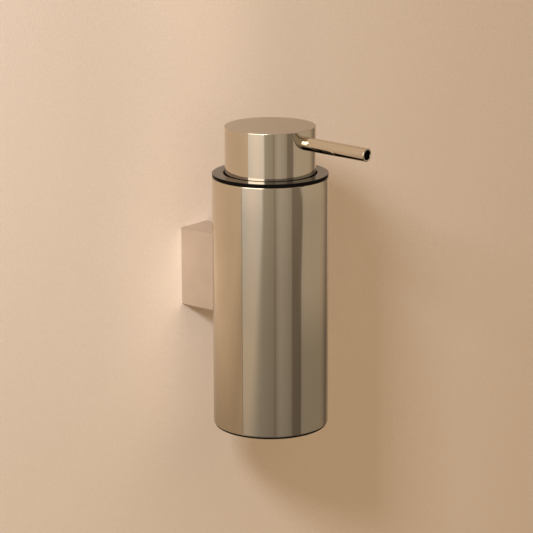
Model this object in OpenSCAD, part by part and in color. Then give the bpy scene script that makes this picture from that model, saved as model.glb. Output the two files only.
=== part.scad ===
// Wall mounted soap dispenser. A square bracket holds a polished round sleeve; a bottle with a
// hand pump stands in the sleeve and lifts out of it for refilling.
// Origin: centre of the bracket's back face, on the wall. +Z up, -Y away from the wall.

/* [Sleeve] */
// Outer diameter of the sleeve and its ring
body_d = 58; // [57:0.5:60]
// Length of the polished sleeve
sleeve_h = 127; // [125:1:135]
// Thickness of the sleeve's wall
sleeve_t = 1.5; // [1.2:0.1:1.8]
// Height of the dark lip under the sleeve
base_lip = 1; // [0.8:0.1:2]

/* [Bracket] */
// Width of the bracket
bracket_w = 20; // [19:0.5:26]
// Height of the bracket
bracket_h = 40.5; // [40:0.5:50]
// Distance from the wall to the sleeve's axis
wall_gap = 50.5; // [50:0.5:56]
// Height of the sleeve's top edge above the bracket's centre
sleeve_top = 52.2; // [50:0.1:56]
// Distance between the two wall screws
screw_pitch = 21; // [20.5:0.5:23]
// Diameter of the holes for the wall screws
screw_hole_d = 4.5; // [4:0.1:5]

/* [Head] */
// Diameter of the round head
head_d = 45.2; // [45:0.1:45.6]
// Height of the head's top above the sleeve's top edge
head_rise = 25.4; // [25:0.1:28]
// Travel of the pump
stroke = 10; // [8:0.5:10]
// Radial gap between the head and the ring
head_gap = 0.8; // [0.3:0.1:0.9]

/* [Spout] */
// Outer diameter of the spout
spout_d = 6.6; // [6:0.1:6.6]
// Length from the sleeve's axis to the spout's tip
spout_reach = 60; // [50:1:70]
// Depth of the spout's centre line below the head's top, at the sleeve's axis
spout_drop = 5.8; // [5.8:0.05:7]
// Degrees that the spout slopes down
spout_slope = 1.4; // [0:0.1:2]

/* [Hidden] */
$fn = 96;

// Colours
nickel = [0.74, 0.69, 0.61];
satin = [0.82, 0.77, 0.69];
steel = [0.62, 0.62, 0.62];
dark = [0.07, 0.06, 0.06];
natural = [0.92, 0.92, 0.88];
white = [0.95, 0.95, 0.95];
clearance = 0.05;    // radial play of a running fit
touch = 0.02;        // radial play of two pieces pressed together
over = 1;            // how far a cutting shape runs past what it cuts

// Sleeve and collar
body_r = body_d / 2;
bore_r = body_r - sleeve_t;
sleeve_bottom = sleeve_top - sleeve_h;
edge_r = 0.4;                            // rounding of the sleeve's edges
ring_t = 1.15;                           // thickness of the ring
flange_t = 0.75;                         // thickness of the collar's flange under it
ring_top = sleeve_top + flange_t + ring_t;
head_r = head_d / 2;
ring_hole_r = head_r + head_gap;
well_r = ring_hole_r + 0.6;
plug_r = bore_r - 0.3;
plug_h = 8;                              // depth of the collar's plug in the sleeve
well_wall = 1.2;
seal_r = 0.75;                           // section radius of the collar's seal
seal_z = sleeve_top - plug_h / 2;

// Head
head_top = sleeve_top + head_rise;
head_wall = 1.4;
head_roof = 1.6;
head_sunk = 4;                           // how far the head reaches into the collar
head_bottom = ring_top - head_sunk;
head_chamfer = 0.3;
spout_z = head_top - spout_drop;
spout_r = spout_d / 2;
spout_wall = 0.8;
spout_root = 8;                          // distance from the axis to the spout's inner end
spout_socket_l = 19.3;                   // distance from the axis to the end of its socket
spout_seal_r = 0.55;                     // section radius of the spout's seal
spout_seal_gap = 0.25;                   // room between the socket's end and the seal

// Collar floor and bottle
floor_top = head_bottom - stroke - 1.6;
floor_t = 1.5;
bottle_top = floor_top - floor_t;
bottle_r = bore_r - 0.9;
bottle_wall = 1.2;
bottle_bottom = sleeve_bottom + 4;
shoulder_r = 4;
foot_r = 2;
neck_r = 12.8;
neck_in_r = 11.2;
neck_top = bottle_top + 10;
thread_r = neck_r + 0.8;

// Pump, from the neck down
seal_t = 1;
flange_r = 12.6;
housing_top = neck_top + seal_t + 1.5;
barrel_r = 8;
bore = 7;                                // radius of the pump's bore
barrel_floor = bottle_top - 23;
spring_h = 2 * stroke;
piston_bottom = barrel_floor + spring_h;
piston_h = 8;
piston_top = piston_bottom + piston_h;
stem_r = 3.5;
stem_bore_r = 1.3;
stop_h = 2.2;                            // height of the stem's shoulder above the piston
stem_top = head_top - 11.6;
guide_bottom = piston_top + stop_h + 0.2;
cap_flange_r = 9;
nut_r = 16;
nut_top = housing_top + 1.3;
nut_bore_r = thread_r + 0.1;
ribs = 30;                               // ribs round the closure nut
socket_h = 10;                           // depth of the dip tube's socket
tube_r = 3;
tube_in_r = 2.1;

// Valves: each ball rests on a cone, a hair above touching it
ball_play = 0.08;
inlet_ball_r = 2.2;
inlet_hole_r = 1.6;
inlet_room_r = 2.6;
inlet_cone_h = 1.4;
outlet_ball_r = 1.9;
outlet_room_r = 2.4;
outlet_cone_h = 1.5;
ball_lift = 1.5;                         // how far a ball can rise
inlet_ball_z = barrel_floor - clearance - ball_lift - inlet_ball_r;
inlet_z = inlet_ball_z - ball_rise(inlet_hole_r, inlet_room_r, inlet_cone_h, inlet_ball_r);
outlet_ball_z = stem_top - clearance - ball_lift - outlet_ball_r;
outlet_z = outlet_ball_z - ball_rise(stem_bore_r, outlet_room_r, outlet_cone_h, outlet_ball_r);

// Bracket, wall plate and the studs that hold the sleeve
bracket_edge = 0.4;
bracket_side = 2.5;                      // thickness of the bracket's sides
bracket_front = 13;                      // depth of the bracket's hollow
plate_t = 3;
plate_play = 0.2;
lip_t = 1.5;
lip_depth = 7.5;
grub_l = 4;
grub_y = -5;
stud_pitch = 9;
stud_r = 2;
stud_end = -8;
washer_t = 0.8;
nut_af = 7;
nut_h = 3.2;
room_w = bracket_w - 2 * bracket_side;
room_h = bracket_h - 2 * bracket_side - 0.5;
plate_top = room_h / 2 - plate_play;
plate_bottom = -bracket_h / 2 + 0.25 + grub_l;

// Spring
wire_r = 0.45;
coil_r = 5.2;
coil_turns = 6;
coil_steps = 24;                         // rings of the wire per turn
wire_sides = 8;

// Height of a resting ball's centre above the lower end of its cone, which widens from r0 to r1
function ball_rise(r0, r1, h, ball) =
    let (half = atan((r1 - r0) / h)) ball / sin(half) - r0 / tan(half) + ball_play;

// Points of an arc round (x, y), from angle a0 to a1
function arc(x, y, r, a0, a1, n = 6) =
    [for (i = [0:n]) let (a = a0 + (a1 - a0) * i / n) [x + r * cos(a), y + r * sin(a)]];

// One point of the wire's surface: ring i along the coil, side j round the wire
function wire_point(i, j, rings) =
    let (
        turn = 360 * coil_turns * i / (rings - 1),
        side = 360 * j / wire_sides,
        r = coil_r + wire_r * cos(side),
        rise = (spring_h - 2 * wire_r) * i / (rings - 1)
    )
    [r * cos(turn), r * sin(turn), wire_r + rise + wire_r * sin(side)];

module on_axis() {
    translate([0, -wall_gap, 0]) children();
}

// A turned piece on the sleeve's axis, from its outline in [radius, height]
module turned(outline) {
    on_axis() rotate_extrude() polygon(outline);
}

module ring(r_in, r_out, z0, z1) {
    turned([[r_in, z0], [r_out, z0], [r_out, z1], [r_in, z1]]);
}

module o_ring(r, section, z) {
    on_axis() translate([0, 0, z]) rotate_extrude() translate([r, 0]) circle(section, $fn = 24);
}

// The spout's own axis: outwards along -Y from the sleeve's axis, sloping down
module on_spout() {
    translate([0, -wall_gap, spout_z]) rotate([spout_slope, 0, 0]) children();
}

// A round bar or hole along Y, from y0 outwards by length l
module along_y(r, y0, l) {
    translate([0, y0, 0]) rotate([90, 0, 0]) cylinder(r = r, h = l);
}

module pair(pitch) {
    for (side = [-1, 1]) translate([0, 0, side * pitch / 2]) children();
}

module plate_lip(z) {
    translate([-room_w / 2 + plate_play, -lip_depth, z])
        cube([room_w - 2 * plate_play, lip_depth, lip_t]);
}

module wall_plate() {
    color(steel) difference() {
        union() {
            translate([-room_w / 2 + plate_play, -plate_t, plate_bottom])
                cube([room_w - 2 * plate_play, plate_t, plate_top - plate_bottom]);
            plate_lip(plate_top - lip_t);
            plate_lip(plate_bottom);
        }
        pair(screw_pitch) along_y(screw_hole_d / 2, over, plate_t + 2 * over);
    }
}

module bracket_outline() {
    w = bracket_w / 2;
    h = bracket_h / 2;
    c = bracket_edge;
    polygon([
        [-w + c, -h], [w - c, -h], [w, -h + c], [w, h - c],
        [w - c, h], [-w + c, h], [-w, h - c], [-w, -h + c]
    ]);
}

module bracket() {
    color(satin) difference() {
        rotate([90, 0, 0]) linear_extrude(wall_gap - body_r / 2) bracket_outline();
        on_axis() cylinder(r = body_r + touch, h = 2 * bracket_h, center = true);
        translate([-room_w / 2, -bracket_front, -room_h / 2])
            cube([room_w, bracket_front + over, room_h]);
        pair(stud_pitch) along_y(stud_r + 0.2, -bracket_front + over, bracket_front);
        translate([0, grub_y, -bracket_h / 2 - over]) cylinder(r = stud_r, h = 2 * bracket_side);
    }
}

module bracket_grub_screw() {
    socket_r = 1.15;
    socket_depth = 2;
    color(steel) translate([0, grub_y, plate_bottom - grub_l]) difference() {
        cylinder(r = stud_r - touch, h = grub_l);
        translate([0, 0, -over]) cylinder(r = socket_r, h = socket_depth + over, $fn = 6);
    }
}

module sleeve_studs() {
    color(steel) difference() {
        pair(stud_pitch) along_y(stud_r, stud_end, wall_gap - body_r + over + stud_end);
        on_axis() cylinder(r = body_r, h = 2 * bracket_h, center = true);
    }
}

module stud_washers() {
    washer_r = 4.2;
    y = -bracket_front + washer_t;
    color(steel) pair(stud_pitch) difference() {
        along_y(washer_r, y, washer_t);
        along_y(stud_r + clearance, y + over, washer_t + 2 * over);
    }
}

module stud_nuts() {
    y = -bracket_front + washer_t + nut_h;
    color(steel) pair(stud_pitch) difference() {
        translate([0, y, 0]) rotate([90, 0, 0]) cylinder(r = nut_af / 2 / cos(30), h = nut_h, $fn = 6);
        along_y(stud_r + touch, y + over, nut_h + 2 * over);
    }
}

module outer_sleeve() {
    color(nickel) turned(concat(
        [[bore_r, sleeve_bottom]],
        arc(body_r - edge_r, sleeve_bottom + edge_r, edge_r, -90, 0),
        arc(body_r - edge_r, sleeve_top - edge_r, edge_r, 0, 90),
        [[bore_r, sleeve_top]]
    ));
}

module base_cap() {
    drain_r = 3;
    lip_r = body_r - 0.6;
    plug_top = sleeve_bottom + 3;
    color(dark) turned([
        [drain_r, sleeve_bottom - base_lip], [lip_r, sleeve_bottom - base_lip],
        [lip_r, sleeve_bottom], [bore_r - touch, sleeve_bottom],
        [bore_r - touch, plug_top], [drain_r, plug_top]
    ]);
}

module inner_bottle() {
    inner_r = bottle_r - bottle_wall;
    inner_top = bottle_top - bottle_wall;
    inner_bottom = bottle_bottom + bottle_wall;
    color(natural) {
        turned(concat(
            [[0, bottle_bottom]],
            arc(bottle_r - foot_r, bottle_bottom + foot_r, foot_r, -90, 0),
            arc(bottle_r - shoulder_r, bottle_top - shoulder_r, shoulder_r, 0, 90),
            [[neck_r, bottle_top], [neck_r, neck_top], [neck_in_r, neck_top], [neck_in_r, inner_top]],
            arc(bottle_r - shoulder_r, bottle_top - shoulder_r, shoulder_r - bottle_wall, 90, 0),
            [[inner_r, inner_bottom], [0, inner_bottom]]
        ));
        for (z = [bottle_top + 3.4, bottle_top + 6.9])
            turned([
                [neck_r - 0.2, z - 0.8], [thread_r, z - 0.3], [thread_r, z + 0.3], [neck_r - 0.2, z + 0.8]
            ]);
    }
}

module top_ring() {
    c = 0.15;
    color(dark) turned([
        [ring_hole_r, ring_top - ring_t], [body_r - c, ring_top - ring_t],
        [body_r, ring_top - ring_t + c], [body_r, ring_top - c],
        [body_r - c, ring_top], [ring_hole_r + c, ring_top], [ring_hole_r, ring_top - c]
    ]);
}

module collar_insert() {
    flange_top = sleeve_top + flange_t;
    flange_edge = body_r - 0.15;
    groove_r = plug_r + 0.15 - 2 * seal_r;
    groove_h = seal_r + 0.1;
    color(dark) turned([
        [neck_r + 1, bottle_top], [well_r + well_wall, bottle_top],
        [well_r + well_wall, sleeve_top - plug_h], [plug_r, sleeve_top - plug_h],
        [plug_r, seal_z - groove_h], [groove_r, seal_z - groove_h],
        [groove_r, seal_z + groove_h], [plug_r, seal_z + groove_h],
        [plug_r, sleeve_top], [flange_edge, sleeve_top], [flange_edge, flange_top],
        [well_r, flange_top], [well_r, floor_top], [neck_r + 1, floor_top]
    ]);
}

module collar_seal() {
    color(dark) o_ring(plug_r + 0.15 - seal_r, seal_r, seal_z);
}

module closure_nut() {
    rib = 0.6;
    color(white) {
        turned([
            [nut_bore_r, floor_top], [nut_r, floor_top], [nut_r, nut_top - 1], [nut_r - 1, nut_top],
            [cap_flange_r + 0.3, nut_top], [cap_flange_r + 0.3, housing_top], [nut_bore_r, housing_top]
        ]);
        on_axis() for (i = [0:ribs - 1])
            rotate(i * 360 / ribs) translate([nut_r - rib, -rib / 2, floor_top])
                cube([2 * rib, rib, nut_top - floor_top - 2]);
    }
}

module neck_seal() {
    color(dark) ring(barrel_r + 0.2, flange_r, neck_top, neck_top + seal_t);
}

module pump_housing() {
    socket_r = tube_r + touch;
    outer_r = tube_r + 1.6;
    socket_top = inlet_z - 0.6;
    bar = [2 * inlet_room_r + 1.2, 0.9, 1];
    color(white) {
        turned([
            [flange_r, housing_top], [flange_r, neck_top + seal_t], [barrel_r, neck_top + seal_t],
            [barrel_r, barrel_floor - 1.5], [outer_r, inlet_z], [outer_r, socket_top - socket_h],
            [socket_r, socket_top - socket_h], [socket_r, socket_top], [inlet_hole_r, socket_top],
            [inlet_hole_r, inlet_z], [inlet_room_r, inlet_z + inlet_cone_h],
            [inlet_room_r, barrel_floor], [bore, barrel_floor], [bore, housing_top]
        ]);
        on_axis() translate([-bar[0] / 2, -bar[1] / 2, barrel_floor]) cube(bar);
    }
}

module housing_cap() {
    guide_r = stem_r + clearance;
    color(white) turned([
        [guide_r, guide_bottom], [bore - touch, guide_bottom], [bore - touch, housing_top],
        [cap_flange_r, housing_top], [cap_flange_r, housing_top + 1], [cap_flange_r - 0.5, housing_top + 1.5],
        [guide_r, housing_top + 1.5]
    ]);
}

module dip_tube() {
    color(natural) ring(tube_in_r, tube_r, bottle_bottom + 3, inlet_z - 0.6);
}

module inlet_ball() {
    color(steel) on_axis() translate([0, 0, inlet_ball_z]) sphere(inlet_ball_r);
}

module return_spring() {
    rings = coil_turns * coil_steps + 1;
    points = [for (i = [0:rings - 1], j = [0:wire_sides - 1]) wire_point(i, j, rings)];
    sides = [
        for (i = [0:rings - 2], j = [0:wire_sides - 1])
            let (a = i * wire_sides + j, b = i * wire_sides + (j + 1) % wire_sides)
                [a, a + wire_sides, b + wire_sides, b]
    ];
    first = [for (j = [0:wire_sides - 1]) j];
    last = [for (j = [wire_sides - 1:-1:0]) (rings - 1) * wire_sides + j];
    color(steel) on_axis() translate([0, 0, barrel_floor])
        polyhedron(points, concat(sides, [first, last]));
}

module piston() {
    lip_r = bore - clearance;
    lip = 1.5;
    waist_r = bore - 0.7;
    bore_in = stem_r + clearance;
    color(white) turned([
        [bore_in, piston_bottom], [lip_r, piston_bottom], [lip_r, piston_bottom + lip],
        [waist_r, piston_bottom + 2 * lip], [waist_r, piston_top - 2 * lip],
        [lip_r, piston_top - lip], [lip_r, piston_top], [bore_in, piston_top]
    ]);
}

module pump_stem() {
    shoulder = stem_r + 1.1;
    color(white) turned([
        [stem_bore_r, piston_bottom - 1], [stem_r, piston_bottom - 1], [stem_r, piston_top],
        [shoulder, piston_top], [shoulder, piston_top + stop_h], [stem_r, piston_top + stop_h],
        [stem_r, stem_top], [outlet_room_r, stem_top], [outlet_room_r, outlet_z + outlet_cone_h],
        [stem_bore_r, outlet_z]
    ]);
}

module outlet_ball() {
    color(steel) on_axis() translate([0, 0, outlet_ball_z]) sphere(outlet_ball_r);
}

module head_cap() {
    c = head_chamfer;
    inner_r = head_r - head_wall;
    color(nickel) difference() {
        turned([
            [inner_r, head_bottom], [head_r - c, head_bottom], [head_r, head_bottom + c],
            [head_r, head_top - c], [head_r - c, head_top], [0, head_top],
            [0, head_top - head_roof], [inner_r, head_top - head_roof]
        ]);
        on_spout() along_y(spout_r + clearance, 3 - inner_r, 2 * head_wall + 3);
    }
}

module head_core() {
    boss_r = 6.5;
    boss_bottom = stem_top - 3.5;
    disc_r = head_r - head_wall - touch;
    disc_t = 2.5;
    disc_top = head_top - head_roof;
    socket_r = spout_r + 0.7;
    notch_w = 2 * (spout_r + 2 * spout_seal_r + clearance);
    channel_r = 1.5;
    riser_r = 1.3;
    color(white) difference() {
        union() {
            on_axis() translate([0, 0, disc_top - disc_t]) cylinder(r = disc_r, h = disc_t);
            on_axis() translate([0, 0, boss_bottom]) cylinder(r = boss_r, h = disc_top - boss_bottom);
            on_spout() along_y(socket_r, 0, spout_socket_l);
        }
        on_axis() translate([0, 0, boss_bottom - over])
            cylinder(r = stem_r + touch, h = stem_top - boss_bottom + over);
        on_axis() translate([0, 0, stem_top - over]) cylinder(r = riser_r, h = spout_z - stem_top + over);
        on_spout() {
            along_y(channel_r, channel_r + clearance, spout_root + over);
            along_y(spout_r + touch, -spout_root, spout_socket_l);
        }
        translate([-notch_w / 2, -wall_gap - disc_r - over, disc_top - disc_t - over])
            cube([notch_w, disc_r + over - spout_socket_l - spout_seal_gap, disc_t + 2 * over]);
    }
}

// A pipe in the head's side, from the core outwards to a point short of the spout's reach
module spout_pipe(r, wall, short) {
    l = spout_reach - spout_root - short;
    on_spout() difference() {
        along_y(r, -spout_root, l);
        along_y(r - wall, over - spout_root, l + 2 * over);
    }
}

module spout_tube() {
    color(nickel) spout_pipe(spout_r, spout_wall, 0);
}

module spout_liner() {
    color(dark) spout_pipe(spout_r - spout_wall - touch, 0.6, 2);
}

// The seal lies between the socket's end and the inside of the head
module spout_seal() {
    y = -spout_socket_l - spout_seal_gap - spout_seal_r;
    color(dark) on_spout() translate([0, y, 0]) rotate([90, 0, 0]) rotate_extrude()
        translate([spout_r + spout_seal_r, 0]) circle(spout_seal_r, $fn = 24);
}

wall_plate();
bracket();
bracket_grub_screw();
sleeve_studs();
stud_washers();
stud_nuts();
outer_sleeve();
base_cap();
inner_bottle();
top_ring();
collar_insert();
collar_seal();
closure_nut();
neck_seal();
pump_housing();
housing_cap();
dip_tube();
inlet_ball();
return_spring();
piston();
pump_stem();
outlet_ball();
head_cap();
head_core();
spout_tube();
spout_liner();
spout_seal();
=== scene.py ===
import math

import bmesh
import bpy
from bpy.props import FloatProperty, FloatVectorProperty, IntProperty, PointerProperty
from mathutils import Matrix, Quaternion, Vector


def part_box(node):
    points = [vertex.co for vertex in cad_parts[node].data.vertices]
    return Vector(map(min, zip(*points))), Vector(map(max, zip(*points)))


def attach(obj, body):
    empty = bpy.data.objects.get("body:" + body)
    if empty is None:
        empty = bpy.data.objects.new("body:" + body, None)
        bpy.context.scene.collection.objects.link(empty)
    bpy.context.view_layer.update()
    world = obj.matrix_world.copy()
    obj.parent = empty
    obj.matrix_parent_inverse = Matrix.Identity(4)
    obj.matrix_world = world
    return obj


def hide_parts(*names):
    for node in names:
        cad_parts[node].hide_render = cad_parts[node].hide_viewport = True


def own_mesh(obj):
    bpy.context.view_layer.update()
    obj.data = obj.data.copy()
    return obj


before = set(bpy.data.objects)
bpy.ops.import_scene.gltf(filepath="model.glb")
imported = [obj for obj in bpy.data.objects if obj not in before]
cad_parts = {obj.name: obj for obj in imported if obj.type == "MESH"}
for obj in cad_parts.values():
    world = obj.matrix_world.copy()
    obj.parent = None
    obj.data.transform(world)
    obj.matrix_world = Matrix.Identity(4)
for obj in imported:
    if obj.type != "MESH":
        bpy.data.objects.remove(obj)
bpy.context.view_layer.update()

bl_info = {
    "name": "Wall mounted soap dispenser",
    "version": (1, 0, 0),
    "blender": (4, 5, 0),
    "location": "View3D > Sidebar > Soap dispenser",
    "description": "Builds the finished surfaces of a wall mounted soap dispenser round its frame",
    "category": "Object",
}

MM = 0.001
UP = Vector((0, 0, 1))
SHARP = math.radians(28)  # steeper edges than this are shaded sharp
CORNER_STEPS = 5
COIL_STEPS = 40  # steps in each turn of a coil

# ---------------------------------------------------------------- places taken from the frame


def centre(node):
    low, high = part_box(node)
    return (low + high) / 2


def radius(node):
    low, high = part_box(node)
    return (high.x - low.x) / 2


def span(node):
    """Lowest and highest Z of a node."""
    low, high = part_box(node)
    return low.z, high.z


AXIS_Y = centre("outer_sleeve").y
BODY_R = radius("outer_sleeve")


def spout_line():
    """The spout's inner end, its direction and its length, from the box round its tube."""
    low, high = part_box("spout_tube")
    r = radius("spout_tube")
    slope = math.atan2(high.z - low.z - 2 * r, high.y - low.y)
    along = Vector((0, -math.cos(slope), -math.sin(slope)))
    start = Vector((0, high.y - r * math.sin(slope), high.z - r * math.cos(slope)))
    end = Vector((0, low.y + r * math.sin(slope), low.z + r * math.cos(slope)))
    return start, along, (end - start).length


# ---------------------------------------------------------------- node trees


class Wire:
    """An output socket that takes part in arithmetic; each operation adds a Math node."""

    def __init__(self, maker, socket):
        self.maker = maker
        self.socket = socket

    def __add__(self, other):
        return self.maker.math("ADD", self, other)

    def __radd__(self, other):
        return self.maker.math("ADD", other, self)

    def __sub__(self, other):
        return self.maker.math("SUBTRACT", self, other)

    def __rsub__(self, other):
        return self.maker.math("SUBTRACT", other, self)

    def __mul__(self, other):
        return self.maker.math("MULTIPLY", self, other)

    def __rmul__(self, other):
        return self.maker.math("MULTIPLY", other, self)

    def __truediv__(self, other):
        return self.maker.math("DIVIDE", self, other)

    def __rtruediv__(self, other):
        return self.maker.math("DIVIDE", other, self)


class Maker:
    """Adds nodes to one node tree."""

    def __init__(self, tree):
        self.tree = tree
        tree.nodes.clear()

    def node(self, kind, settings=None, inputs=None, output=0):
        """A node of this kind: its settings first, then a value or a wire for each input. It
        returns the wire of the output asked for, or the node itself if it has no outputs."""
        made = self.tree.nodes.new(kind)
        for name, value in (settings or {}).items():
            if name == "stops":
                self._stops(made.color_ramp, value)
            else:
                setattr(made, name, value)
        for name, value in (inputs or {}).items():
            if isinstance(value, Wire):
                self.tree.links.new(value.socket, made.inputs[name])
            else:
                made.inputs[name].default_value = value
        if len(made.outputs) == 0:
            return made
        return Wire(self, made.outputs[output])

    @staticmethod
    def _stops(ramp, stops):
        while len(ramp.elements) < len(stops):
            ramp.elements.new(1)
        for element, (place, colour) in zip(ramp.elements, stops):
            element.position = place
            element.color = (*colour, 1)

    def math(self, operation, *terms):
        """A Math node of this operation on values or wires."""
        return self.node("ShaderNodeMath", {"operation": operation}, dict(enumerate(terms)))

    def between(self, value, low, high):
        """0 below low, 1 above high, smooth in between."""
        return self.node(
            "ShaderNodeMapRange",
            {"interpolation_type": "SMOOTHSTEP"},
            {"Value": value, "From Min": low, "From Max": high},
        )

    def blend(self, factor, first, second):
        """A colour from first at 0 to second at 1."""
        settings = {"data_type": "RGBA"}
        return self.node("ShaderNodeMix", settings, {0: factor, 6: first, 7: second}, output=2)

    def place(self):
        """The point on the object, in its own coordinates."""
        return self.node("ShaderNodeTexCoord", output=3)

    def stretched(self, vector, scale):
        """The vector, times a different amount along each axis."""
        settings = {"operation": "MULTIPLY"}
        return self.node("ShaderNodeVectorMath", settings, {0: vector, 1: scale})

    def axes(self, vector):
        """The vector's X, Y and Z."""
        made = self.node("ShaderNodeSeparateXYZ", inputs={0: vector}).socket.node
        return [Wire(self, made.outputs[i]) for i in range(3)]

    def noise(self, vector, scale, detail=2.0, roughness=0.5):
        values = {"Vector": vector, "Scale": scale, "Detail": detail, "Roughness": roughness}
        return self.node("ShaderNodeTexNoise", {}, values)

    def bump(self, height, distance, strength=1.0, normal=None):
        values = {"Height": height, "Distance": distance, "Strength": strength}
        if normal is not None:
            values["Normal"] = normal
        return self.node("ShaderNodeBump", {}, values)


def rgba(colour):
    return (*colour, 1)


def shade(colour, factor):
    """The colour, lighter or darker by this factor."""
    return tuple(min(1, c * factor) for c in colour)


def look(name):
    """The full name of one of this script's materials; the frame's own carry the plain name."""
    return "finished_" + name


def finish(name, **constants):
    """A new material with one Principled shader; returns its maker and shader."""
    material = bpy.data.materials.new(look(name))
    material.use_nodes = True
    maker = Maker(material.node_tree)
    shader = maker.node("ShaderNodeBsdfPrincipled").socket.node
    out = maker.node("ShaderNodeOutputMaterial")
    maker.tree.links.new(shader.outputs[0], out.inputs["Surface"])
    for socket, value in constants.items():
        shader.inputs[socket.replace("_", " ")].default_value = value
    return maker, shader


def feed(maker, shader, **wires):
    """Links each wire to the shader's input of that name."""
    for socket, wire in wires.items():
        maker.tree.links.new(wire.socket, shader.inputs[socket.replace("_", " ")])


# ---------------------------------------------------------------- finishes


def plating(maker, place, colour):
    """What both polished finishes share: the smears, the smeared colour and a slight waviness."""
    smear = maker.between(maker.noise(place, 28, 3, 0.55), 0.42, 0.68)
    base = maker.blend(smear, rgba(colour), rgba(shade(colour, 0.965)))
    wave = maker.bump(maker.noise(place, 60, 1), 0.000012)
    return smear, base, wave


def polished_nickel(colour):
    """Mirror-polished plating: faint cloudy smears, hairlines and a slight waviness."""
    maker, shader = finish("polished_nickel", Metallic=1.0)
    place = maker.place()
    smear, base, wave = plating(maker, place, colour)
    hairlines = maker.noise(maker.stretched(place, (900, 900, 60)), 1, 2)
    rough = 0.045 + smear * 0.03 + hairlines * 0.02
    normal = maker.bump(hairlines, 0.0000006, normal=wave)
    feed(maker, shader, Base_Color=base, Roughness=rough, Normal=normal)


def turned_nickel(colour):
    """The head's plating: mirror-polished round the side, satin with turning marks on top."""
    maker, shader = finish("turned_nickel", Metallic=1.0)
    place = maker.place()
    x, y, z = maker.axes(place)
    across = maker.math("SQRT", x * x + (y - AXIS_Y) * (y - AXIS_Y))
    face = span("head_cap")[1]
    top = maker.between(z, face - 0.3 * MM, face - 0.1 * MM)
    smear, base, wave = plating(maker, place, colour)
    rings = maker.noise(maker.node("ShaderNodeCombineXYZ", {}, {0: across * 9000}), 1, 3)
    base = maker.blend(top, base, rgba((0.50, 0.46, 0.385)))
    satin = 0.24 + rings * 0.08
    polish = 0.045 + smear * 0.03
    normal = maker.bump(rings * top, 0.000003, normal=wave)
    feed(maker, shader, Base_Color=base, Roughness=polish + (satin - polish) * top, Normal=normal)


def satin_nickel(colour):
    """Fine blasted plating of the bracket."""
    maker, shader = finish("satin_nickel", Metallic=1.0)
    place = maker.place()
    grain = maker.noise(place, 2600, 2)
    cloud = maker.noise(place, 60, 3)
    base = maker.blend(maker.between(cloud, 0.3, 0.7), rgba(colour), rgba(shade(colour, 0.93)))
    normal = maker.bump(grain, 0.00001, 0.5)
    feed(maker, shader, Base_Color=base, Roughness=0.3 + grain * 0.12, Normal=normal)


def zinc_steel(colour):
    """Zinc-plated steel with the faint spangle and brush of bought hardware."""
    maker, shader = finish("zinc_steel", Metallic=1.0)
    place = maker.place()
    spangle = maker.node("ShaderNodeTexVoronoi", {}, {"Vector": place, "Scale": 700}, output=1)
    tone = maker.axes(spangle)[0]
    brush = maker.noise(maker.stretched(place, (3000, 3000, 200)), 1, 2)
    base = maker.blend(tone * 0.6, rgba(colour), rgba(shade(colour, 0.8)))
    normal = maker.bump(brush, 0.000004)
    feed(maker, shader, Base_Color=base, Roughness=0.32 + tone * 0.14 + brush * 0.08, Normal=normal)


def spring_steel(colour):
    """Bright drawn wire and bearing balls."""
    maker, shader = finish("spring_steel", Metallic=1.0)
    place = maker.place()
    drawn = maker.noise(place, 1500, 2)
    base = maker.blend(drawn, rgba(colour), rgba(shade(colour, 0.88)))
    feed(maker, shader, Base_Color=base, Roughness=0.16 + drawn * 0.12)
    feed(maker, shader, Normal=maker.bump(drawn, 0.000002))


def black_plastic(colour):
    """Glossy black moulding with a soft waviness and a little dust."""
    maker, shader = finish("black_plastic", IOR=1.1)
    place = maker.place()
    skin = maker.noise(place, 900, 3)
    dust = maker.between(maker.noise(place, 240, 4, 0.7), 0.6, 0.8)
    base = maker.blend(dust, rgba(colour), rgba((0.035, 0.032, 0.03)))
    normal = maker.bump(skin, 0.000006)
    feed(maker, shader, Base_Color=base, Roughness=0.22 + skin * 0.1 + dust * 0.2, Normal=normal)


def gloss_black(colour):
    """Highly polished black moulding with faint wiping marks and a few specks of dust. Only its
    top face is lacquered."""
    maker, shader = finish("gloss_black", IOR=1.06, Coat_IOR=1.32, Coat_Roughness=0.06)
    place = maker.place()
    top = span("top_ring")[1]
    lacquer = maker.between(maker.axes(place)[2], top - 0.3 * MM, top - 0.05 * MM)
    wipe = maker.noise(maker.stretched(place, (200, 200, 900)), 1, 3)
    specks = maker.between(maker.noise(place, 1500, 2), 0.72, 0.8)
    base = maker.blend(specks * 0.4, rgba(colour), rgba((0.05, 0.045, 0.04)))
    feed(maker, shader, Base_Color=base, Roughness=0.05 + wipe * 0.05 + specks * 0.2)
    feed(maker, shader, Coat_Weight=lacquer, Normal=maker.bump(maker.noise(place, 90, 1), 0.000008))


def black_rubber(colour):
    """Soft matt seal rubber with a bloom."""
    maker, shader = finish("black_rubber")
    place = maker.place()
    bloom = maker.between(maker.noise(place, 160, 4), 0.45, 0.75)
    pores = maker.noise(place, 2200, 2)
    base = maker.blend(bloom, rgba(colour), rgba((0.06, 0.058, 0.055)))
    feed(maker, shader, Base_Color=base, Roughness=0.62 + bloom * 0.18)
    feed(maker, shader, Normal=maker.bump(pores, 0.00002))


def natural_plastic(colour):
    """Translucent natural polyethylene, milky, with faint flow bands."""
    maker, shader = finish("natural_plastic", Subsurface_Weight=0.25, Subsurface_Scale=0.004)
    place = maker.place()
    flow = maker.noise(maker.stretched(place, (30, 30, 160)), 1, 3)
    skin = maker.noise(place, 1200, 2)
    base = maker.blend(flow, rgba(colour), rgba(shade(colour, 0.9)))
    cover = 0.80 + flow * 0.12
    feed(maker, shader, Base_Color=base, Alpha=cover, Roughness=0.3 + skin * 0.14)
    feed(maker, shader, Normal=maker.bump(skin, 0.00001))


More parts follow.
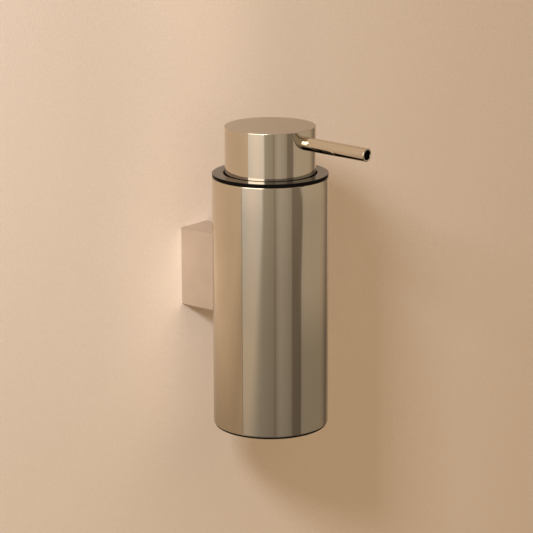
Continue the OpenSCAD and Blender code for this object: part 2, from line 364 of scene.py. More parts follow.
def white_plastic(colour):
    """Fine-textured white polypropylene."""
    maker, shader = finish("white_plastic", Subsurface_Weight=0.1, Subsurface_Scale=0.002)
    place = maker.place()
    texture = maker.noise(place, 3200, 2)
    cloud = maker.noise(place, 90, 3)
    base = maker.blend(cloud, rgba(colour), rgba(shade(colour, 0.93)))
    feed(maker, shader, Base_Color=base, Roughness=0.36 + texture * 0.16)
    feed(maker, shader, Normal=maker.bump(texture, 0.000014))


# ---------------------------------------------------------------- meshes


def rounded(corners):
    """A closed outline with its corners rounded: each corner is (a, b) or (a, b, radius). A short
    flat step before and after each rounding keeps the long faces flat when shaded smooth."""
    points = []
    count = len(corners)
    for i, corner in enumerate(corners):
        here = Vector(corner[:2])
        r = corner[2] if len(corner) > 2 else 0
        if not r:
            points.append(here)
            continue
        back = (Vector(corners[i - 1][:2]) - here).normalized()
        on = (Vector(corners[(i + 1) % count][:2]) - here).normalized()
        half = back.angle(on) / 2
        reach = r / math.tan(half)
        middle = here + (back + on).normalized() * (r / math.sin(half))
        first = here + back * reach
        last = here + on * reach
        a0 = math.atan2(first.y - middle.y, first.x - middle.x)
        turn = math.atan2(last.y - middle.y, last.x - middle.x) - a0
        turn = (turn + math.pi) % (2 * math.pi) - math.pi
        points.append(first + back * r * 0.2)
        for k in range(CORNER_STEPS + 1):
            a = a0 + turn * k / CORNER_STEPS
            points.append(middle + Vector((math.cos(a), math.sin(a))) * r)
        points.append(last + on * r * 0.2)
    return points


def new_piece(name, bm):
    """A smooth-shaded object from a bmesh, with its faces outwards and its steep edges sharp."""
    bmesh.ops.remove_doubles(bm, verts=bm.verts, dist=1e-7)
    bmesh.ops.recalc_face_normals(bm, faces=bm.faces)
    mesh = bpy.data.meshes.new(name)
    bm.to_mesh(mesh)
    bm.free()
    mesh.shade_smooth()
    mesh.set_sharp_from_angle(angle=SHARP)
    piece = bpy.data.objects.new(name, mesh)
    bpy.context.scene.collection.objects.link(piece)
    return piece


def lathe(outline, segments=160, axis=None):
    """A bmesh turned from a closed outline of (radius, height), round the sleeve's axis or the
    axis given as (start point, direction): height then runs along that direction."""
    bm = bmesh.new()
    start, along = axis or (Vector((0, AXIS_Y, 0)), UP)
    turn = UP.rotation_difference(along).to_matrix()
    step = 2 * math.pi / segments
    rings = []
    for r, h in outline:
        count = 1 if r < 1e-9 else segments
        ring = [
            bm.verts.new(start + turn @ Vector((r * math.cos(step * k), r * math.sin(step * k), h)))
            for k in range(count)
        ]
        rings.append(ring * (segments // count))
    for i, ring in enumerate(rings):
        after = rings[(i + 1) % len(rings)]
        for k in range(segments):
            n = (k + 1) % segments
            corners = list(dict.fromkeys([ring[k], ring[n], after[n], after[k]]))
            if len(corners) > 2:
                bm.faces.new(corners)
    return bm


def turned(name, corners, segments=160, axis=None):
    """A turned piece from corners of (radius, height, rounding), in millimetres."""
    outline = [p * MM for p in rounded(corners)]
    return new_piece(name, lathe(outline, segments, axis))


def torus_outline(r, section, z):
    """The round section of a ring: its middle at (r, z), its own radius in section."""
    sides = 24
    turn = 2 * math.pi / sides
    return [
        (r + section * math.cos(turn * k), z + section * math.sin(turn * k)) for k in range(sides)
    ]


def softened(node, width):
    """A copy of a CAD node with flat faces joined and its edges bevelled."""
    bm = bmesh.new()
    bm.from_mesh(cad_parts[node].data)
    bmesh.ops.remove_doubles(bm, verts=bm.verts, dist=2e-6)
    flat = math.radians(1)
    bmesh.ops.dissolve_limit(bm, angle_limit=flat, verts=bm.verts, edges=bm.edges)
    piece = new_piece(node + "_finished", bm)
    bevel = piece.modifiers.new("soft_edges", "BEVEL")
    bevel.width = width
    bevel.segments = 3
    bevel.limit_method = "ANGLE"
    bevel.angle_limit = math.radians(35)
    bevel.harden_normals = True
    return piece


def dress(piece, material, body, slot, *nodes):
    """Gives a finished piece its material and its body, and hides the nodes that it replaces. The slot
    is not used.
    """
    piece.data.materials.clear()
    piece.data.materials.append(bpy.data.materials[look(material)])
    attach(piece, body)
    if nodes:
        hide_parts(*nodes)


def settled(piece):
    """Leaves a piece with the mesh that its modifiers make, and returns that mesh."""
    bpy.context.view_layer.update()
    graph = bpy.context.evaluated_depsgraph_get()
    mesh = bpy.data.meshes.new_from_object(piece.evaluated_get(graph))
    piece.modifiers.clear()
    piece.data = mesh
    return mesh


def drill(piece, cutter):
    """Cuts cutter out of piece, then removes cutter."""
    cut = piece.modifiers.new("drill", "BOOLEAN")
    cut.operation = "DIFFERENCE"
    cut.solver = "EXACT"
    cut.object = cutter
    mesh = settled(piece)
    mesh.shade_smooth()
    mesh.set_sharp_from_angle(angle=SHARP)
    bpy.data.objects.remove(cutter)


# ---------------------------------------------------------------- geometry node trees


def tree_with(name, inputs):
    """A geometry node tree with these named number inputs; returns its maker and input wires."""
    tree = bpy.data.node_groups.new(name, "GeometryNodeTree")
    tree.interface.new_socket("Geometry", in_out="OUTPUT", socket_type="NodeSocketGeometry")
    for label, value in inputs.items():
        kind = "NodeSocketInt" if isinstance(value, int) else "NodeSocketFloat"
        socket = tree.interface.new_socket(label, in_out="INPUT", socket_type=kind)
        socket.default_value = value
    maker = Maker(tree)
    entry = tree.nodes.new("NodeGroupInput")
    wires = {label: Wire(maker, entry.outputs[label]) for label in inputs}
    return maker, wires


def close_tree(maker, geometry, material):
    """Ends a geometry node tree: real geometry with its material, as the tree's output."""
    solid = maker.node("GeometryNodeRealizeInstances", {}, {0: geometry})
    paint = bpy.data.materials[look(material)]
    coloured = maker.node("GeometryNodeSetMaterial", {}, {"Geometry": solid, "Material": paint})
    out = maker.tree.nodes.new("NodeGroupOutput")
    maker.tree.links.new(coloured.socket, out.inputs[0])
    return maker.tree


def grown(name, tree, values):
    """The tree's result with these input values, as a plain mesh object."""
    piece = bpy.data.objects.new(name, bpy.data.meshes.new(name))
    bpy.context.scene.collection.objects.link(piece)
    modifier = piece.modifiers.new(name, "NODES")
    modifier.node_group = tree
    for item in tree.interface.items_tree:
        if item.in_out == "INPUT" and item.name in values:
            modifier[item.identifier] = values[item.name]
    settled(piece)
    return piece


def coil_tree(name, material):
    """A wire that climbs round the sleeve's axis; End Turns at each end lie close together."""
    inputs = {
        "Turns": 6.0, "Radius": 0.005, "Wire": 0.0005, "Bottom": 0.0, "Top": 0.02,
        "End Turns": 1.0, "Sides": 12,
    }
    maker, wire = tree_with(name, inputs)
    steps = wire["Turns"] * COIL_STEPS
    line = maker.node("GeometryNodeCurvePrimitiveLine", {}, {"End": (0, 0, 1)})
    points = maker.node("GeometryNodeResampleCurve", {}, {"Curve": line, "Count": steps})
    share = maker.node("GeometryNodeSplineParameter")
    turn = share * wire["Turns"]
    angle = turn * (2 * math.pi)
    thick = wire["Wire"] * 2
    low = maker.math("MINIMUM", turn, wire["End Turns"])
    high = maker.math("MAXIMUM", turn - wire["Turns"] + wire["End Turns"], 0)
    free = turn - low - high
    open_turns = wire["Turns"] - 2 * wire["End Turns"]
    ends = thick * wire["End Turns"] * 2
    pitch = (wire["Top"] - wire["Bottom"] - thick - ends) / open_turns
    height = wire["Bottom"] + wire["Wire"] + (low + high) * thick + free * pitch
    x = wire["Radius"] * maker.math("COSINE", angle)
    y = wire["Radius"] * maker.math("SINE", angle) + AXIS_Y
    place = maker.node("ShaderNodeCombineXYZ", {}, {0: x, 1: y, 2: height})
    path = maker.node("GeometryNodeSetPosition", {}, {"Geometry": points, "Position": place})
    section = maker.node(
        "GeometryNodeCurvePrimitiveCircle", {}, {"Resolution": wire["Sides"], "Radius": wire["Wire"]}
    )
    solid = maker.node(
        "GeometryNodeCurveToMesh", {}, {"Curve": path, "Profile Curve": section, "Fill Caps": True}
    )
    smooth = maker.node("GeometryNodeSetShadeSmooth", {}, {"Geometry": solid, "Shade Smooth": True})
    return close_tree(maker, smooth, material)


def ribs_tree(name, material):
    """Upright ribs standing round the sleeve's axis."""
    inputs = {"Ribs": 30, "Radius": 0.016, "Depth": 0.001, "Bottom": 0.0, "Top": 0.01}
    maker, wire = tree_with(name, inputs)
    tall = wire["Top"] - wire["Bottom"]
    circle = maker.node(
        "GeometryNodeMeshCircle", {}, {"Vertices": wire["Ribs"], "Radius": wire["Radius"]}
    )
    centre_line = maker.node("ShaderNodeCombineXYZ", {}, {1: AXIS_Y, 2: wire["Bottom"] + tall / 2})
    ring = maker.node("GeometryNodeTransform", {}, {"Geometry": circle, "Translation": centre_line})
    rod = maker.node(
        "GeometryNodeMeshCylinder", {}, {"Vertices": 10, "Radius": wire["Depth"], "Depth": tall}
    )
    rods = maker.node("GeometryNodeInstanceOnPoints", {}, {"Points": ring, "Instance": rod})
    return close_tree(maker, rods, material)


# ---------------------------------------------------------------- settings


class DispenserColours(bpy.types.PropertyGroup):
    nickel: FloatVectorProperty(
        name="Nickel", description="Colour of the polished plating", subtype="COLOR",
        default=(0.62, 0.55, 0.435), min=0, max=1,
    )
    satin: FloatVectorProperty(
        name="Satin nickel", description="Colour of the bracket's satin plating", subtype="COLOR",
        default=(0.67, 0.605, 0.54), min=0, max=1,
    )
    steel: FloatVectorProperty(
        name="Steel", description="Colour of the hidden steel parts", subtype="COLOR",
        default=(0.60, 0.60, 0.60), min=0, max=1,
    )
    black: FloatVectorProperty(
        name="Black", description="Colour of the black mouldings", subtype="COLOR",
        default=(0.006, 0.005, 0.004), min=0, max=1,
    )
    bottle: FloatVectorProperty(
        name="Bottle", description="Colour of the bottle and its tube", subtype="COLOR",
        default=(0.86, 0.86, 0.81), min=0, max=1,
    )
    pump: FloatVectorProperty(
        name="Pump", description="Colour of the pump's mouldings", subtype="COLOR",
        default=(0.86, 0.86, 0.85), min=0, max=1,
    )
    wall: FloatVectorProperty(
        name="Wall", description="Colour of the backdrop", subtype="COLOR",
        default=(0.85, 0.72, 0.585), min=0, max=1,
    )


class DispenserSizes(bpy.types.PropertyGroup):
    sleeve_wall: FloatProperty(
        name="Sleeve wall", description="Thickness of the sleeve", default=1.5 * MM,
        subtype="DISTANCE", unit="LENGTH",
    )
    edge: FloatProperty(
        name="Edge rounding", description="Rounding of the sleeve's edges", default=0.4 * MM,
        subtype="DISTANCE", unit="LENGTH",
    )
    ribs: IntProperty(
        name="Nut ribs", description="Grip ribs round the closure nut", default=30, min=12, max=60,
    )
    coil_turns: FloatProperty(
        name="Spring turns", description="Turns of the return spring", default=8.0, min=4, max=10,
    )


def colours():
    return bpy.context.scene.dispenser_colours


def sizes():
    return bpy.context.scene.dispenser_sizes


# ---------------------------------------------------------------- stage


def one_sided(name, colour, second, mottle_scale, grain_scale, grain_depth, tone=None):
    """A matt surface that is clear from behind, so that it never hides the object. A tone function turns
    the maker, the place and the base colour into the colour under the flecks; the wall's tone function
    paints light and shade into it."""
    maker, shader = finish(name, Roughness=0.9)
    place = maker.place()
    mottled = maker.noise(place, mottle_scale, 2)
    base = maker.blend(mottled, rgba(colour), rgba(second))
    if tone:
        base = tone(maker, place, base)
    fleck = maker.noise(place, grain_scale * 1.6, 2)
    base = maker.blend(maker.between(fleck, 0.35, 0.65) * 0.07, base, rgba((0.3, 0.22, 0.15)))
    grain = maker.noise(place, grain_scale, 4, 0.6)
    feed(maker, shader, Base_Color=base, Normal=maker.bump(grain, grain_depth))
    behind = maker.node("ShaderNodeNewGeometry", output=6)
    clear = maker.node("ShaderNodeBsdfTransparent")
    front = Wire(maker, shader.outputs[0])
    mixed = maker.node("ShaderNodeMixShader", {}, {0: behind, 1: front, 2: clear})
    out = maker.tree.get_output_node("ALL")
    maker.tree.links.new(mixed.socket, out.inputs["Surface"])
    return bpy.data.materials[look(name)]


def wall_painted_light(maker, place, base):
    """The wall's colour with painted light and shade: painted shade to the left and downwards, painted
    light round the sleeve, a warmer painted shade near the bottom, and a painted dark reflection at its
    foot where the polished parts mirror it."""
    wall = colours().wall
    x, _, z = maker.axes(place)
    # Painted shade: the wall darkens to the left, most of all low down.
    left = 1 - maker.between(x, -0.20, 0.0)
    low = 1 - maker.between(z, -0.16, 0.06)
    dim = [a * b for a, b in zip(shade(wall, 0.86), (1, 0.99, 0.96))]
    wall_with_painted_light = maker.blend(left * (0.35 + low * 0.65), base, rgba(dim))
    # Painted light: lighter round the sleeve from mid-height up, and a little lighter right of it.
    near = 1 - maker.between(maker.math("ABSOLUTE", x - 0.005), 0.0, 0.085)
    high = maker.between(z, -0.11, -0.03)
    painted_light_round_sleeve = near * high + maker.between(x, 0.06, 0.12) * 0.25
    wall_with_painted_light = maker.blend(painted_light_round_sleeve, wall_with_painted_light, rgba(shade(wall, 1.15)))
    # Painted shade: a warmer, more orange colour towards the bottom.
    painted_warm_shade = (1 - maker.between(z, -0.14, -0.02)) * 0.7
    wall_with_painted_light = maker.blend(painted_warm_shade, wall_with_painted_light, rgba((0.84, 0.70, 0.54)))
    # Painted reflection: where the polished parts mirror the wall, its lower part is painted darker than
    # the camera sees it.
    mirrored = maker.node("ShaderNodeLightPath", output=3)
    lean = maker.math("MINIMUM", x + 0.06, 0) * 0.35
    foot = 1 - maker.between(z + lean, -0.11, -0.02)
    dark = [a * b for a, b in zip(shade(wall, 0.66), (1, 0.98, 0.9))]
    return maker.blend(mirrored * foot, wall_with_painted_light, rgba(dark))


# The cylinder of light and dark that only the polished parts mirror: its radius and its lowest
# and highest Z in metres, how far it goes round in degrees, and the number of its faces.
SCREEN_R = 0.6
SCREEN_LOW = -0.45
SCREEN_HIGH = 0.75
SCREEN_FIRST = -118
SCREEN_LAST = 100
SCREEN_STEPS = 96

# Its upright bands: (degrees round the object from straight out of the wall towards +X, colour).
BANDS = [
    (SCREEN_FIRST, (0.05, 0.04, 0.03)),
    (-108, (0.12, 0.10, 0.08)),
    (-106, (0.50, 0.45, 0.40)),
    (-66, (0.43, 0.375, 0.31)),
    (-52, (0.385, 0.33, 0.265)),
    (-45, (0.37, 0.31, 0.25)),
    (-42, (0.28, 0.23, 0.18)),
    (-39, (0.40, 0.34, 0.28)),
    (-32, (0.48, 0.41, 0.35)),
    (-20, (0.43, 0.37, 0.31)),
    (-10, (0.37, 0.31, 0.25)),
    (-7.5, (0.225, 0.18, 0.14)),
    (13.6, (0.22, 0.175, 0.135)),
    (15.2, (0.46, 0.39, 0.32)),
    (24, (0.49, 0.41, 0.32)),
    (64, (0.49, 0.40, 0.30)),
    (76, (0.44, 0.34, 0.25)),
    (90, (0.24, 0.18, 0.13)),
]


def surround_material():
    """The screen's glow: the bands, with a big window of light on the left that opens upwards,
    all darker towards the floor. Angles are in degrees and heights in metres."""
    material = bpy.data.materials.new("studio_surround")
    material.use_nodes = True
    maker = Maker(material.node_tree)
    x, y, z = maker.axes(maker.place())
    angle = maker.math("ARCTAN2", x, AXIS_Y - y) * (180 / math.pi)
    stops = [((a + 180) / 360, c) for a, c in BANDS]
    under = maker.math("MAXIMUM", -0.1 - z, 0)

    # The bands right of the middle lean, so that their mirror images stand upright.
    shift = maker.math("MINIMUM", under * 60, 3) + maker.between(z, -0.084, -0.074) * 6
    shift = shift * maker.between(angle, 2, 8)
    bands = maker.node("ShaderNodeValToRGB", {"stops": stops}, {0: (angle + shift + 180) / 360})

    # The window narrows and its right edge softens downwards; its upper panes shine.
    edge = -65.3 - under * 115
    soft = 3 + under * 90
    window = maker.between(angle, -107.6, -106.2) * (1 - maker.between(angle, edge - soft, edge + soft))
    light = maker.between(z, -0.105, -0.075) * 0.2 + maker.between(z, -0.06, 0.22) * 6
    middle = maker.between(angle, -104, -88) * (1 - maker.between(angle, -82, -66))
    upper = maker.blend(middle, rgba((0.69, 0.64, 0.59)), rgba((0.79, 0.68, 0.61)))
    pane = maker.blend(maker.between(z, -0.21, -0.1), rgba((0.82, 0.68, 0.54)), upper)
    glow = maker.blend(window, bands, pane)

    # The left half dims steadily downwards, the right half in soft steps, and both near the foot.
    slope = maker.math("MAXIMUM", 1 + (z + 0.108) * 3.4, 0.852 + (z + 0.1515) * 1.4)
    slope = maker.math("MINIMUM", slope, 1.15)
    even = 0.68 + maker.between(z, -0.215, -0.14) * 0.35 + maker.between(z, -0.095, -0.075) * 0.13
    right = maker.between(angle, 0, 14)
    foot = 0.3 + maker.between(z, -0.40, -0.26) * 0.7
    fade = (slope * (1 - right) + even * right) * foot
    shine = maker.node(
        "ShaderNodeEmission", {}, {"Color": glow, "Strength": fade + light * window}
    )
    out = maker.node("ShaderNodeOutputMaterial")
    maker.tree.links.new(shine.socket, out.inputs["Surface"])
    material.cycles.emission_sampling = "NONE"
    return material


def sheet(name, faces, material):
    """A stage piece made of flat faces."""
    bm = bmesh.new()
    for face in faces:
        bm.faces.new([bm.verts.new(corner) for corner in face])
    bmesh.ops.remove_doubles(bm, verts=bm.verts, dist=1e-6)
    mesh = bpy.data.meshes.new(name)
    bm.to_mesh(mesh)
    bm.free()
    piece = bpy.data.objects.new(name, mesh)
    bpy.context.scene.collection.objects.link(piece)
    mesh.materials.append(material)
    return piece


def rectangle(x0, x1, z0, z1):
    """An upright rectangle just behind the mounting face, that faces out of the wall."""
    y = 0.2 * MM
    return [(x0, y, z0), (x1, y, z0), (x1, y, z1), (x0, y, z1)]


def mirrored_only(piece):
    """Leaves a stage piece to be seen in the polished parts alone."""
    piece.visible_camera = False
    piece.visible_diffuse = False
    piece.visible_shadow = False
    piece.visible_transmission = False


def area_light(name, place, aim, size, power, colour):
    """A square lamp that the camera doesn't see, pointed at a place."""
    data = bpy.data.lights.new(name, "AREA")
    data.shape = "SQUARE"
    data.size = size
    data.energy = power
    data.color = colour
    light = bpy.data.objects.new(name, data)
    light.location = place
    light.rotation_mode = "QUATERNION"
    light.rotation_quaternion = (Vector(aim) - Vector(place)).to_track_quat("-Z", "Y")
    light.visible_camera = False
    bpy.context.scene.collection.objects.link(light)


def wall_and_floor():
    """The plastered wall, with a hole for the bracket's hidden hollow, and a pale floor."""
    wall = colours().wall
    # The wall's colour carries painted light, painted shade and a painted dark reflection.
    plaster = one_sided("painted_plaster", wall, shade(wall, 0.98), 18, 900, 0.2 * MM, wall_painted_light)
    low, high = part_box("bracket")
    inset = 0.5 * MM
    x0, x1 = low.x + inset, high.x - inset
    z0, z1 = low.z + inset, high.z - inset
    left, right, bottom, top = -0.189, 0.36, -0.6, 0.6
    backdrop = sheet("backdrop", [
        rectangle(left, x0, bottom, z0), rectangle(x0, x1, bottom, z0),
        rectangle(x1, right, bottom, z0), rectangle(left, x0, z0, z1),
        rectangle(x1, right, z0, z1), rectangle(left, x0, z1, top),
        rectangle(x0, x1, z1, top), rectangle(x1, right, z1, top),
    ], plaster)
    backdrop.visible_shadow = False
    floor_colour = (0.70, 0.66, 0.60)
    stone = one_sided("pale_floor", floor_colour, shade(floor_colour, 0.95), 6, 90, 0.2 * MM)
    reach = 8
    sheet("floor", [[
        (-reach, -reach, bottom), (reach, -reach, bottom),
        (reach, reach, bottom), (-reach, reach, bottom),
    ]], stone)


def screen():
    """The cylinder that the polished parts mirror, and a card across its foot that is dim in the
    middle and black round it."""
    first, last = math.radians(SCREEN_FIRST), math.radians(SCREEN_LAST)
    turns = [first + (last - first) * k / SCREEN_STEPS for k in range(SCREEN_STEPS + 1)]
    rim = [(SCREEN_R * math.sin(a), AXIS_Y - SCREEN_R * math.cos(a)) for a in turns]
    mirrored_only(sheet("surround", [
        [(*p, SCREEN_LOW), (*q, SCREEN_LOW), (*q, SCREEN_HIGH), (*p, SCREEN_HIGH)]
        for p, q in zip(rim, rim[1:])
    ], surround_material()))
    # Painted reflection: a sheet that only the polished parts see, glowing dimly in the middle and black
    # round it, darkens their undersides.
    maker, shader = finish("black_card", Roughness=1.0, Base_Color=(0, 0, 0, 1))
    shader.inputs["Specular IOR Level"].default_value = 0
    shader.inputs["Emission Strength"].default_value = 1
    x, y, _ = maker.axes(maker.place())
    away = maker.between(maker.math("SQRT", x * x + y * y), 0.12, 0.38)
    feed(maker, shader, Emission_Color=maker.blend(away, rgba((0.30, 0.25, 0.20)), rgba((0, 0, 0))))
    card = [(*p, SCREEN_LOW) for p in rim]
    mirrored_only(sheet("black_card", [card], bpy.data.materials[look("black_card")]))


def lamp_and_sky():
    """The small lamp high on the left that casts the shadows, and an even warm sky."""
    area_light("key", (-0.75, -0.40, 0.47), (0, -0.03, 0), 0.14, 6.8, (0.95, 0.97, 1.05))
    world = bpy.data.worlds.new("studio")
    world.use_nodes = True
    back = world.node_tree.nodes["Background"]
    back.inputs["Color"].default_value = (0.55, 0.42, 0.29, 1)
    back.inputs["Strength"].default_value = 1.0
    bpy.context.scene.world = world
    bpy.context.scene.view_settings.view_transform = "Standard"


def main_camera():
    """A long lens from the front left, a little above."""
    azimuth, elevation, roll = (math.radians(a) for a in (-50.465, 14.471, 0.16))
    distance = 1.119
    aside = 2 * MM
    target = Vector((0, AXIS_Y, 5.8 * MM))
    backwards = Vector((
        math.sin(azimuth) * math.cos(elevation),
        -math.cos(azimuth) * math.cos(elevation),
        math.sin(elevation),
    ))
    right = UP.cross(backwards).normalized()
    data = bpy.data.cameras.new("camera")
    data.sensor_width = 36
    data.lens = 150.9
    camera = bpy.data.objects.new("camera", data)
    camera.rotation_mode = "QUATERNION"
    camera.location = target + backwards * distance - right * aside
    level = (-backwards).to_track_quat("-Z", "Y")
    camera.rotation_quaternion = level @ Quaternion((0, 0, 1), -roll)
    bpy.context.scene.collection.objects.link(camera)
    bpy.context.scene.camera = camera


class SOAP_OT_stage(bpy.types.Operator):
    """Makes the wall, the floor, the mirrored screen, the light and the camera"""

    bl_idname = "soap.stage"
    bl_label = "Stage"

    def execute(self, context):
        wall_and_floor()
        screen()
        lamp_and_sky()
        main_camera()
        return {"FINISHED"}


class SOAP_OT_finishes(bpy.types.Operator):
    """Makes the materials"""

    bl_idname = "soap.finishes"
    bl_label = "Finishes"

    def execute(self, context):
        c = colours()
        polished_nickel(c.nickel)
        turned_nickel(c.nickel)
        satin_nickel(c.satin)
        zinc_steel(c.steel)
        spring_steel(c.steel)
        black_plastic(c.black)
        gloss_black(c.black)
        black_rubber(shade(c.black, 2))
        natural_plastic(c.bottle)
        white_plastic(c.pump)
        return {"FINISHED"}


class SOAP_OT_sleeve(bpy.types.Operator):
    """Makes the polished sleeve and its base"""

    bl_idname = "soap.sleeve"
    bl_label = "Sleeve"

    def execute(self, context):
        z0, z1 = (z / MM for z in span("outer_sleeve"))
        r, wall, edge = BODY_R / MM, sizes().sleeve_wall / MM, sizes().edge / MM
        sleeve = turned("sleeve", [
            (r - wall, z0, 0.2), (r, z0, edge), (r, z1, edge), (r - wall, z1, 0.2)
        ], 256)
        dress(sleeve, "polished_nickel", "holder", "polished_nickel", "outer_sleeve")

        low, high = (z / MM for z in span("base_cap"))
        lip = radius("base_cap") / MM
        plug = r - wall - 0.02
        drain = 3
        base = turned("base", [
            (drain, low, 0.4), (lip - 9, low), (lip - 8, low + 0.4), (lip - 4, low + 0.4),
            (lip - 3, low), (lip, low, 0.3), (lip, z0), (plug, z0), (plug, high, 0.4), (drain, high, 0.4)
        ])
        dress(base, "black_plastic", "holder", "black_plastic", "base_cap")
        return {"FINISHED"}


class SOAP_OT_bracket(bpy.types.Operator):
    """Softens the bracket, the wall plate and their hardware"""

    bl_idname = "soap.bracket"
    bl_label = "Bracket and hardware"

    def execute(self, context):
        dress(softened("bracket", 0.12 * MM), "satin_nickel", "holder", "satin_nickel", "bracket")
        for node, width in (
            ("wall_plate", 0.2), ("bracket_grub_screw", 0.15), ("sleeve_studs", 0.25),
            ("stud_washers", 0.12), ("stud_nuts", 0.2),
        ):
            dress(softened(node, width * MM), "zinc_steel", "holder", "zinc_steel", node)
        return {"FINISHED"}


class SOAP_OT_collar(bpy.types.Operator):
    """Makes the glossy ring, the dark collar under it and its seal"""

    bl_idname = "soap.collar"
    bl_label = "Collar"

    def execute(self, context):
        z0, z1 = (z / MM for z in span("top_ring"))
        r = BODY_R / MM
        hole = radius("head_cap") / MM + 0.8
        ring = turned("glossy_ring", [
            (hole, z0), (r - 0.15, z0), (r, z0 + 0.15, 0.1), (r, z1, 0.25), (hole, z1, 0.2)
        ], 256)
        dress(ring, "gloss_black", "refill", "black_plastic", "top_ring")

        bottom, top = (z / MM for z in span("collar_insert"))
        sleeve_top = span("outer_sleeve")[1] / MM
        seal_low, seal_high = (z / MM for z in span("collar_seal"))
        well, floor_top = hole + 0.6, bottom + 1.5
        edge = radius("collar_insert") / MM
        plug = r - 1.8
        groove = radius("collar_seal") / MM - 1.5
        insert = turned("collar", [
            (13.8, bottom), (well + 1.2, bottom, 0.3), (well + 1.2, sleeve_top - 8),
            (plug, sleeve_top - 8, 0.4), (plug, seal_low - 0.1), (groove, seal_low - 0.1, 0.2),
            (groove, seal_high + 0.1, 0.2), (plug, seal_high + 0.1), (plug, sleeve_top),
            (edge, sleeve_top, 0.1), (edge, top, 0.1), (well, top), (well, floor_top, 0.5),
            (13.8, floor_top)
        ], 192)
        dress(insert, "black_plastic", "refill", "black_plastic", "collar_insert")

        seal_r = (seal_high - seal_low) / 2
        seal = torus_outline(groove + seal_r, seal_r, (seal_low + seal_high) / 2)
        outline = [(a * MM, b * MM) for a, b in seal]
        piece = new_piece("collar_o_ring", lathe(outline))
        dress(piece, "black_rubber", "refill", "black_rubber", "collar_seal")
        return {"FINISHED"}


class SOAP_OT_head(bpy.types.Operator):
    """Makes the round head with the hole that the spout goes through"""

    bl_idname = "soap.head"
    bl_label = "Head"

    def execute(self, context):
        z0, z1 = (z / MM for z in span("head_cap"))
        r = radius("head_cap") / MM
        inner, roof = r - 1.4, z1 - 1.6
        head = turned("head", [
            (inner, z0, 0.3), (r, z0, 0.3), (r, z1, 0.3), (0, z1), (0, roof), (inner, roof, 0.5)
        ], 256)
        start, along, _ = spout_line()
        hole_r = radius("spout_tube") + 0.05 * MM
        near, far = 8 * MM, 20 * MM
        hole = [(0, near), (hole_r, near), (hole_r, far), (0, far)]
        cutter = new_piece("cutter", lathe(hole, 96, (start, along)))
        drill(head, cutter)
        dress(head, "turned_nickel", "head", "polished_nickel", "head_cap")
        dress(softened("head_core", 0.2 * MM), "white_plastic", "head", "white_plastic", "head_core")
        return {"FINISHED"}


class SOAP_OT_spout(bpy.types.Operator):
    """Makes the spout, its dark liner and its seal"""

    bl_idname = "soap.spout"
    bl_label = "Spout"

    def execute(self, context):
        start, along, length = spout_line()
        r = radius("spout_tube") / MM
        tube = turned("spout", [
            (r - 0.8, 0), (r, 0, 0.1), (r, length / MM, 0.25), (r - 0.8, length / MM, 0.25)
        ], 96, (start, along))
        dress(tube, "polished_nickel", "head", "polished_nickel", "spout_tube")

        r = radius("spout_liner") / MM
        end = length / MM - 2
        liner = turned("spout_bore", [
            (r - 0.6, 0), (r, 0), (r, end, 0.15), (r - 0.6, end, 0.25)
        ], 64, (start, along))
        dress(liner, "black_plastic", "head", "black_plastic", "spout_liner")

        seal = centre("spout_seal")
        section = (radius("spout_seal") - r * MM - 0.82 * MM) / 2
        outline = torus_outline(radius("spout_seal") - section, section, 0)
        piece = new_piece("spout_o_ring", lathe(outline, 96, (seal, along)))
        dress(piece, "black_rubber", "head", "black_rubber", "spout_seal")
        return {"FINISHED"}


class SOAP_OT_bottle(bpy.types.Operator):
    """Makes the bottle with its threaded neck, and the dip tube"""

    bl_idname = "soap.bottle"
    bl_label = "Bottle"

    def execute(self, context):
        z0, z1 = (z / MM for z in span("inner_bottle"))
        r = radius("inner_bottle") / MM
        shoulder = z1 - 10
        wall = 1.2
        bottle = turned("bottle", [
            (0, z0 + 1.0), (r - 10, z0 + 1.0, 1), (r - 8, z0, 1), (r, z0, 2), (r, shoulder, 4),
            (12.8, shoulder, 0.6), (12.8, z1, 0.3), (11.2, z1, 0.3), (11.2, shoulder - wall, 0.6),
            (r - wall, shoulder - wall, 2.8), (r - wall, z0 + wall + 0.6, 1.5), (0, z0 + wall + 1.0)
        ], 192)
        dress(bottle, "natural_plastic", "refill", "natural_plastic", "inner_bottle")
        thread = grown("bottle_thread", coil_tree("thread", "natural_plastic"), {
            "Turns": 2.0, "Radius": 12.9 * MM, "Wire": 0.6 * MM, "Bottom": (shoulder + 2.4) * MM,
            "Top": (z1 - 1.6) * MM, "End Turns": 0.0, "Sides": 10,
        })
        dress(thread, "natural_plastic", "refill", "natural_plastic")

        z0, z1 = (z / MM for z in span("dip_tube"))
        r = radius("dip_tube") / MM
        tube = turned("suction_tube", [
            (r - 0.9, z0, 0.2), (r, z0, 0.2), (r, z1, 0.1), (r - 0.9, z1, 0.1)
        ], 64)
        dress(tube, "natural_plastic", "refill", "natural_plastic", "dip_tube")
        return {"FINISHED"}


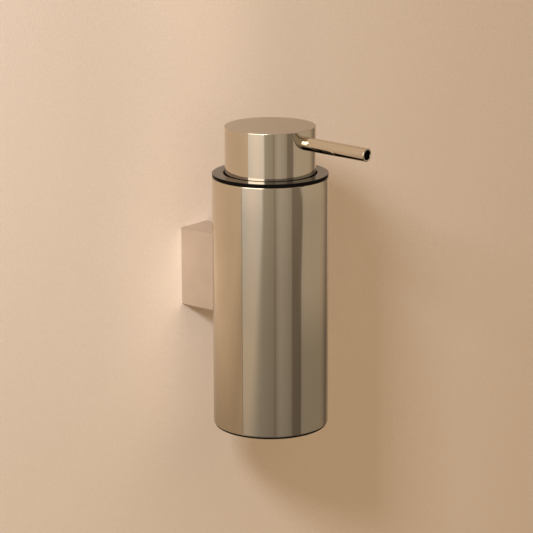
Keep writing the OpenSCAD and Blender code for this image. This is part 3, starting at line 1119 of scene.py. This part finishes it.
class SOAP_OT_pump(bpy.types.Operator):
    """Makes the pump: closure nut, barrel, cap, spring, piston, stem, balls and seals"""

    bl_idname = "soap.pump"
    bl_label = "Pump"

    def execute(self, context):
        z0, z1 = (z / MM for z in span("closure_nut"))
        housing_top = span("pump_housing")[1] / MM
        nut = turned("closure", [
            (13.7, z0, 0.2), (16, z0, 0.3), (16, z1, 1.2), (9.3, z1, 0.3), (9.3, housing_top),
            (13.7, housing_top)
        ])
        dress(nut, "white_plastic", "refill", "white_plastic", "closure_nut")
        ribs = grown("closure_ribs", ribs_tree("ribs", "white_plastic"), {
            "Ribs": sizes().ribs, "Radius": 16.0 * MM, "Depth": 0.55 * MM,
            "Bottom": (z0 + 0.6) * MM, "Top": (z1 - 1.8) * MM,
        })
        dress(ribs, "white_plastic", "refill", "white_plastic")

        spring = grown("spring", coil_tree("spring", "spring_steel"), {
            "Turns": sizes().coil_turns, "Radius": 5.2 * MM, "Wire": 0.45 * MM,
            "Bottom": span("return_spring")[0], "Top": span("return_spring")[1],
        })
        dress(spring, "spring_steel", "refill", "spring_steel", "return_spring")
        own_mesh(spring)

        for node, width, body in (
            ("pump_housing", 0.15, "refill"), ("housing_cap", 0.15, "refill"),
            ("piston", 0.1, "plunger"), ("pump_stem", 0.15, "head"),
        ):
            dress(softened(node, width * MM), "white_plastic", body, "white_plastic", node)
        dress(softened("neck_seal", 0.1 * MM), "black_rubber", "refill", "black_rubber", "neck_seal")
        for node, body in (("inlet_ball", "inlet_valve"), ("outlet_ball", "outlet_valve")):
            bm = bmesh.new()
            bmesh.ops.create_icosphere(bm, subdivisions=4, radius=radius(node))
            bmesh.ops.translate(bm, verts=bm.verts, vec=centre(node))
            ball = new_piece(node + "_finished", bm)
            dress(ball, "spring_steel", body, "spring_steel", node)
        return {"FINISHED"}


OPERATORS = (
    SOAP_OT_finishes, SOAP_OT_stage, SOAP_OT_sleeve, SOAP_OT_bracket, SOAP_OT_collar,
    SOAP_OT_head, SOAP_OT_spout, SOAP_OT_bottle, SOAP_OT_pump,
)


class SOAP_PT_panel(bpy.types.Panel):
    bl_idname = "SOAP_PT_panel"
    bl_label = "Soap dispenser"
    bl_space_type = "VIEW_3D"
    bl_region_type = "UI"
    bl_category = "Soap dispenser"

    def draw(self, context):
        for group in (context.scene.dispenser_colours, context.scene.dispenser_sizes):
            for name in group.bl_rna.properties.keys():
                if name not in ("rna_type", "name"):
                    self.layout.prop(group, name)
        for operator in OPERATORS:
            self.layout.operator(operator.bl_idname)


CLASSES = (DispenserColours, DispenserSizes, *OPERATORS, SOAP_PT_panel)


def register():
    for cls in CLASSES:
        bpy.utils.register_class(cls)
    bpy.types.Scene.dispenser_colours = PointerProperty(type=DispenserColours)
    bpy.types.Scene.dispenser_sizes = PointerProperty(type=DispenserSizes)


def unregister():
    del bpy.types.Scene.dispenser_sizes
    del bpy.types.Scene.dispenser_colours
    for cls in reversed(CLASSES):
        bpy.utils.unregister_class(cls)


def main():
    register()
    for operator in OPERATORS:
        group, name = operator.bl_idname.split(".")
        getattr(getattr(bpy.ops, group), name)()


if __name__ == "__main__":
    main()
